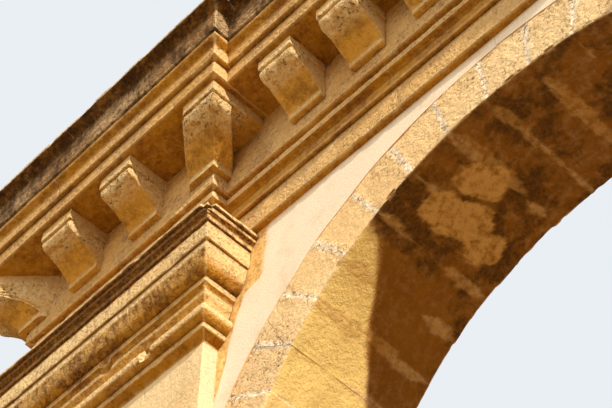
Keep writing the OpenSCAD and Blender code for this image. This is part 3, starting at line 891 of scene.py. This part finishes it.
def voussoirs(name, seed):
    """A part of the ring: its stones, the mortar between them and what is left of its plaster."""
    low, high = (nearest_joint(a) for a in SPLITS[name])
    loop = ring_loop()
    metre = math.degrees(1 / RADIUS)
    rows = marks(low / metre - RING_LAP * (low > 1), high / metre + RING_LAP * (high < 179),
                 RING_STEP, [a / metre for a in ANGLES])
    place, depth, block = (np.array(column) for column in zip(*rows))
    angle, depth = place[:, None] * metre, depth[:, None]
    radius, y = loop[None, :, 0], loop[None, :, 1]
    room = -PIER_X1 / np.maximum(np.abs(np.cos(np.radians(angle))), 1e-6) + 0.01 - RADIUS
    radius = RADIUS + (radius - RADIUS) * np.minimum(1, room / RING_T)
    grid = polar(angle, radius, y)

    soffit = (radius < RADIUS + FLUSH).astype(float)
    face = 1 - soffit
    wobble = layers(grid, 4.0, 3, 31)
    away = np.min([np.abs(angle - a) for a in ANGLES + [0, 180]], axis=0) * RADIUS * math.pi / 180
    steep = np.where(angle > 90, angle, 180 - angle)
    # The painted sunlit strip lies along the front and widens towards the springing
    clean = np.minimum(0.04 + 0.0235 * (steep - 117), 0.75) - (y + WALL_HALF)
    sunny = soffit * ramp(steep + 5 * wobble, *SUNLIT) * ramp(-steep, *SPRINGING)
    sunny = sunny * ramp(clean + 0.05 * wobble, -0.02, 0.03)

    rough_left = ramp(angle + 6 * wobble, *ROUGH_LEFT)
    worn = face * np.maximum(ramp(-angle + 6 * wobble, *ROUGH_CROWN), rough_left)
    worn = np.maximum(worn, 0.9 * face * ramp(0.06 - away + 0.08 * wobble, 0.0, 0.05))
    inside = WALL_HALF - np.abs(y)
    soffit_edge = ramp(0.055 - inside + 0.05 * wobble, 0.0, 0.04)
    worn = np.maximum(worn, soffit * 0.9 * soffit_edge * (1 - sunny))

    width = np.where(soffit > 0, -0.012 + 0.11 * layers(grid, 3.0, 3, 56),
                     0.020 + 0.016 * layers(grid, 5.0, 3, 55))
    mortar = ramp(width - away + 0.004 * layers(grid, 60, 1, 9), -0.003, 0.004) * (1 - 0.75 * soffit)
    patch = remnants(angle, y, grid) * soffit
    strips = ramp(angle, *STRIPS_END) * ramp(width - away, -0.004, 0.006)
    patch = np.maximum(patch, 0.6 * soffit * strips)

    rear_edge = ramp(y, 0.30, 0.44) * (1 - sunny) * ramp(-steep, -160, -146)
    crust = soffit * np.maximum(0.27 * ramp(steep, *DARK), 0.24 * rear_edge)
    # On the soffit the joints show mostly in the painted sunlit strip
    groove = depth * (1 - patch) * (1 - 0.7 * mortar) * (1 - soffit * (1 - 0.4 * sunny))
    rng = np.random.default_rng(seed)
    stone_out = rng.uniform(-0.003, 0.003, block.max() + 1)[block][:, None]
    offset = 0.004 * patch + stone_out + 0.006 * mortar * layers(grid, 25.0, 1, 4)
    offset = offset + 0.005 * worn * layers(grid, 22.0, 2, 8)
    values = {"edge": loop[None, :, 2], "groove": groove, "mortar": mortar, "plaster": patch,
              "tint": block_tint(block, seed)[:, None], "crust": crust, "painted_sunlight": 0.95 * sunny,
              "worn": worn, "rosy": 0.85 * face * rough_left, "offset": offset}
    add_piece(name + "_stone", [(grid, False, values)], "ring_stone", seed,
              swell=0.004, rough=0.003, wear=0.009, groove=0.004, chips=0.02)


for k, name in enumerate(SPLITS):
    voussoirs(name, 601 + k)


# How far the wall's plaster laps over the ring and stands out from it, its turned-in lip, and how
# far its lower edge wavers
PLASTER_LAP = 0.012
PLASTER_OUT = 0.004
PLASTER_LIP = 0.003
PLASTER_WAVE = 0.022
# Edge of the plaster beside the capital: height and place
BARE = ((8.60, -2.45), (8.91, -2.354), (9.13, -2.314), (9.30, -2.279), (9.42, -2.249), (9.545, -2.20),
        (9.575, -2.10), (9.60, -2.035), (9.78, -2.024), (10.05, -2.00))


def spandrel(side, seed):
    """The plastered wall: a wavy lower edge laps over the ring."""
    last = 180 - math.degrees(math.acos(-PIER_X1 / (RADIUS + RING_T)))
    angle = np.linspace(90, last, 170)[:, None]
    c, s = np.cos(np.radians(angle)), np.sin(np.radians(angle))
    reach = np.minimum(PIER_X1 / np.minimum(c, -1e-6), (ARCHITRAVE_Z - SPRING_Z) / s)
    still = 0 * angle[:, 0]
    line = np.stack([angle[:, 0] / 14, still, still + seed], -1)
    wave = PLASTER_WAVE * layers(line, 1.0, 3, seed)
    inner = np.minimum(RADIUS + RING_T - PLASTER_LAP + wave[:, None], reach - 0.02)
    proud = WALL_HALF + PLASTER_OUT
    f = np.concatenate([[0.0, 0.006], np.linspace(0.03, 1, 36)])
    rows = []
    for t, y in [(t, -proud) for t in f] + [(t, proud) for t in f[::-1]]:
        lip = PLASTER_LIP if t == 0 else 0.0
        radius = (inner + (reach - inner) * t)[:, 0]
        rows.append(polar(angle[:, 0], radius, y + (lip if y < 0 else -lip)))
    grid = np.stack(rows, 1)
    if side == "right":
        grid = grid * np.array([-1, 1, 1])
    limit = np.interp(grid[:, :, 2], [b[0] for b in BARE], [b[1] for b in BARE])
    limit = limit + 0.018 * layers(grid, 9.0, 3, seed + 2)
    bare = ramp(limit + np.abs(grid[:, :, 0]), -0.006, 0.012)
    rubble = -0.006 + 0.006 * layers(grid, 20.0, 2, seed)
    values = {"edge": 0.0, "tint": 0.0, "bare": bare, "offset": bare * rubble}
    add_piece(f"spandrel_{side}_plaster", [(grid, False, values)], "plaster", seed,
              swell=0.003, rough=0.0005)


spandrel("left", 701)
spandrel("right", 702)


# Consoles and the weathered top, cut finely from the CAD solids

# Cap of a console: width, overhang past a flank, reach from the wall, height
CAP_W = 0.325
CAP_OVER = 0.010
CAP_OUT = 0.541
CAP_H = 0.110
# Side view as (out from the wall, z from the top): nose, foot of the sweep, height in all
NOSE = (0.468, -0.153)
NOSE_R = 0.062
SWEEP = (0.241, -0.369)
DROP = 0.417
# The raised line: distance from the rim, bulge along the sweep, start and end of its coil in degrees
RIM = 0.015
BULGE = 0.017
COIL_FROM = -98
COIL_TO = COIL_FROM + 610
# Half width of a corner console at its foot and at its cap
FOOT_HALF = 0.245 / math.sqrt(2)
CAP_HALF = 0.305 / math.sqrt(2)


def scroll_line():
    """The raised line on a console's flank: up the sweep from the foot, then coiled in the nose."""
    start = math.radians(COIL_FROM)
    a, b = np.array(SWEEP), np.array(NOSE) + NOSE_R * np.array((math.cos(start), math.sin(start)))
    left = np.array((-(b - a)[1], (b - a)[0])) / np.linalg.norm(b - a)
    middle = (a + b) / 2 + 2 * BULGE * left
    t = np.linspace(0.02, 0.97, 16)[:, None]
    sweep = (1 - t) ** 2 * a + 2 * t * (1 - t) * middle + t * t * b + RIM * left
    turn = np.radians(np.linspace(COIL_FROM + 6, COIL_TO, 52))
    r = np.linspace(NOSE_R - RIM, 0.010, 52)
    coil = np.array(NOSE) + r[:, None] * np.stack([np.cos(turn), np.sin(turn)], -1)
    return np.concatenate([sweep, coil])


def square_flanks(low, high):
    """Flanks of a console that stands square to its wall, as maps from (out, z, lift) to a point."""
    size = high - low
    axis = next((k for k in (0, 1) if abs(size[k] - CAP_W) < 0.02), None)
    if axis is None:
        return []
    other = 1 - axis
    ahead = 1.0 if abs(high[other]) > abs(low[other]) else -1.0
    front = high[other] if ahead > 0 else low[other]

    def flank(side, at):
        def place(out, z, lift):
            co = [0.0, 0.0, high[2] + z]
            co[axis], co[other] = at + side * lift, front + ahead * (out - CAP_OUT)
            return co
        return place
    return [flank(-1, low[axis] + CAP_OVER), flank(1, high[axis] - CAP_OVER)]


def corner_flanks(low, high):
    """Flanks of a console set across a corner, which widens towards its cap."""
    middle = (low + high) / 2
    side, front = math.copysign(1, middle[0]), math.copysign(1, middle[1])
    outer = abs(middle[0]) > abs(PIER_MID)
    corner = np.array((side * abs(PIER_X0 if outer else PIER_X1), front * PIER_HALF))
    ahead = np.array((side if outer else -side, front)) / math.sqrt(2)
    across = np.array((-ahead[1], ahead[0]))

    def flank(sign):
        def place(out, z, lift):
            rise = min(1.0, max(0.0, (z + DROP) / (DROP - CAP_H)))
            half = FOOT_HALF + (CAP_HALF - FOOT_HALF) * rise
            at = corner + ahead * (math.sqrt(2) * out - half) + sign * across * (half + lift)
            return [at[0], at[1], high[2] + z]
        return place
    inner = 1 if across @ (side, front) > 0 else -1
    return [flank(1), flank(-1)] if outer else [flank(inner)]


def add_scroll(bm, place, relief, layer):
    """Lays the raised line on a flank, thin at both ends and sunk into the stone at its sides."""
    bead = ((-0.010, -0.004), (-0.006, 0.7 * relief), (0.0, relief), (0.006, 0.7 * relief),
            (0.010, -0.004))
    line = scroll_line()
    tangent = np.gradient(line, axis=0)
    tangent /= np.linalg.norm(tangent, axis=1)[:, None]
    across = np.stack([-tangent[:, 1], tangent[:, 0]], -1)
    rows = []
    for k in range(len(line)):
        thin = min(1.0, 0.35 + 0.09 * k, 0.4 + 0.03 * (len(line) - k))
        row = []
        for u, lift in bead:
            at = line[k] + across[k] * u * thin
            v = bm.verts.new(place(at[0], at[1], lift * thin))
            v[layer] = 0.5
            row.append(v)
        rows.append(row)
    count = len(bead)
    for here, ahead in zip(rows, rows[1:]):
        for i in range(count):
            j = (i + 1) % count
            bm.faces.new((here[i], here[j], ahead[j], ahead[i]))
    bm.faces.new(rows[0][::-1])
    bm.faces.new(rows[-1])


def solids_in(bm):
    """The sets of faces that hang together, in the order of the mesh."""
    solids, placed = [], set()
    for face in bm.faces:
        if face in placed:
            continue
        solid, queue = {face}, [face]
        while queue:
            for e in queue.pop().edges:
                for f in e.link_faces:
                    if f not in solid:
                        solid.add(f)
                        queue.append(f)
        placed |= solid
        solids.append(solid)
    return solids


def slice_solid(bm, solid, step):
    """Cuts one solid into steps along each axis, and gives its lowest and highest corner."""
    faces = [f for f in bm.faces if f in solid]
    edges = [e for e in bm.edges if any(f in solid for f in e.link_faces)]
    verts = [v for v in bm.verts if any(f in solid for f in v.link_faces)]
    low, high = (np.array([pick(v.co[k] for v in verts) for k in range(3)]) for pick in (min, max))
    geom = faces + edges + verts
    for axis in range(3):
        normal = np.eye(3)[axis]
        n = math.ceil((high[axis] - low[axis]) / step)
        for k in range(1, n):
            at = normal * (low[axis] + (high[axis] - low[axis]) * k / n)
            cut = bmesh.ops.bisect_plane(bm, geom=geom, dist=FLUSH, plane_co=at, plane_no=normal)
            geom = cut["geom"]
    return low, high


def carved(name, slot, step, bevel, seed, crust=0.0, **wear):
    """A CAD node with worn arrises, cut finely, and with raised lines if it is a console."""
    bm = bmesh.new()
    bm.from_mesh(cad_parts[name].data)
    bmesh.ops.remove_doubles(bm, verts=bm.verts, dist=SAME)
    bmesh.ops.dissolve_limit(bm, angle_limit=math.radians(0.4), verts=bm.verts, edges=bm.edges)
    layer = bm.verts.layers.float.new("edge")
    arris = bm.faces.layers.int.new("arris")
    sharp = [e for e in bm.edges if len(e.link_faces) == 2 and e.calc_face_angle_signed(0) > SHARP]
    for f in bmesh.ops.bevel(bm, geom=sharp, offset=bevel, segments=1, affect="EDGES",
                             clamp_overlap=True)["faces"]:
        f[arris] = 1
    boxes = [slice_solid(bm, solid, step) for solid in solids_in(bm)]
    bmesh.ops.triangulate(bm, faces=[f for f in bm.faces if len(f.verts) > 4])
    for v in bm.verts:
        v[layer] = 0.6 * any(f[arris] for f in v.link_faces)
    console = name.startswith("console")
    for low, high in boxes if console else ():
        flanks = square_flanks(low, high)
        for place in flanks or corner_flanks(low, high):
            add_scroll(bm, place, 0.006 if flanks else 0.012, layer)
    bmesh.ops.recalc_face_normals(bm, faces=bm.faces)
    mesh = bpy.data.meshes.new(name + "_carved")
    bm.to_mesh(mesh)
    bm.free()
    co, normal = vectors(mesh, "co"), vectors(mesh, "normal")
    nose = below = np.zeros(len(co))
    if console:
        drop = co[:, 2].max() - co[:, 2]
        out = np.maximum(np.abs(co[:, 1]) - RECESS_HALF, np.abs(co[:, 0]) - abs(PIER_X0))
        nose = ramp(drop, 0.06, 0.10) * ramp(-drop, -0.27, -0.21) * ramp(out, 0.28, 0.40)
        # Faces of a console that look down take patina, crust and painted shade; its worn nose takes
        # less
        below = ramp(-normal[:, 2], 0.1, 0.5) * (1 - nose)
    values = {"crust": crust + 0.12 * nose + 0.05 * below, "worn": nose, "rosy": 0.8 * nose,
              "patina_and_shade": 0.5 * below, "offset": 0.005 * nose * layers(co, 24.0, 2, seed + 40),
              "tint": 0.5 + 0.5 * noise(co, 1.1, seed + 41)}
    for key, value in values.items():
        write(mesh, key, value)
    weather(mesh, seed, **wear)
    make_object(name + "_carved", mesh, slot, [name])


for k, name in enumerate(n for n in sorted(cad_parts) if n.startswith("console")):
    carved(name, "console_stone", 0.024, 0.008, 801 + k, swell=0.003, rough=0.002, wear=0.006)
for k, part in enumerate(("left", "centre", "right")):
    carved("coping_" + part, "crusted_stone", 0.16, 0.01, 901 + k, crust=0.18, wear=0.006)


add_camera()
add_sun("sun", direction=(0.875, -0.281, 0.393), strength=4.3, colour=(1.0, 0.94, 0.83), angle=0.02)
add_sun("soft", direction=(0.1, -0.93, 0.35), strength=1.8, colour=(1.0, 0.96, 0.90), angle=1.2)
add_sun("rear", direction=(-0.45, 0.85, 0.30), strength=1.7, colour=(1.0, 0.96, 0.90), angle=1.2)
add_world(fill=(1.0, 0.96, 0.90), strength=0.11, background=(0.82, 0.86, 0.90))
add_floor(size=1600, seen=(0.80, 0.77, 0.72), bounce=(0.46, 0.36, 0.23))
bpy.context.scene.view_settings.view_transform = "Standard"
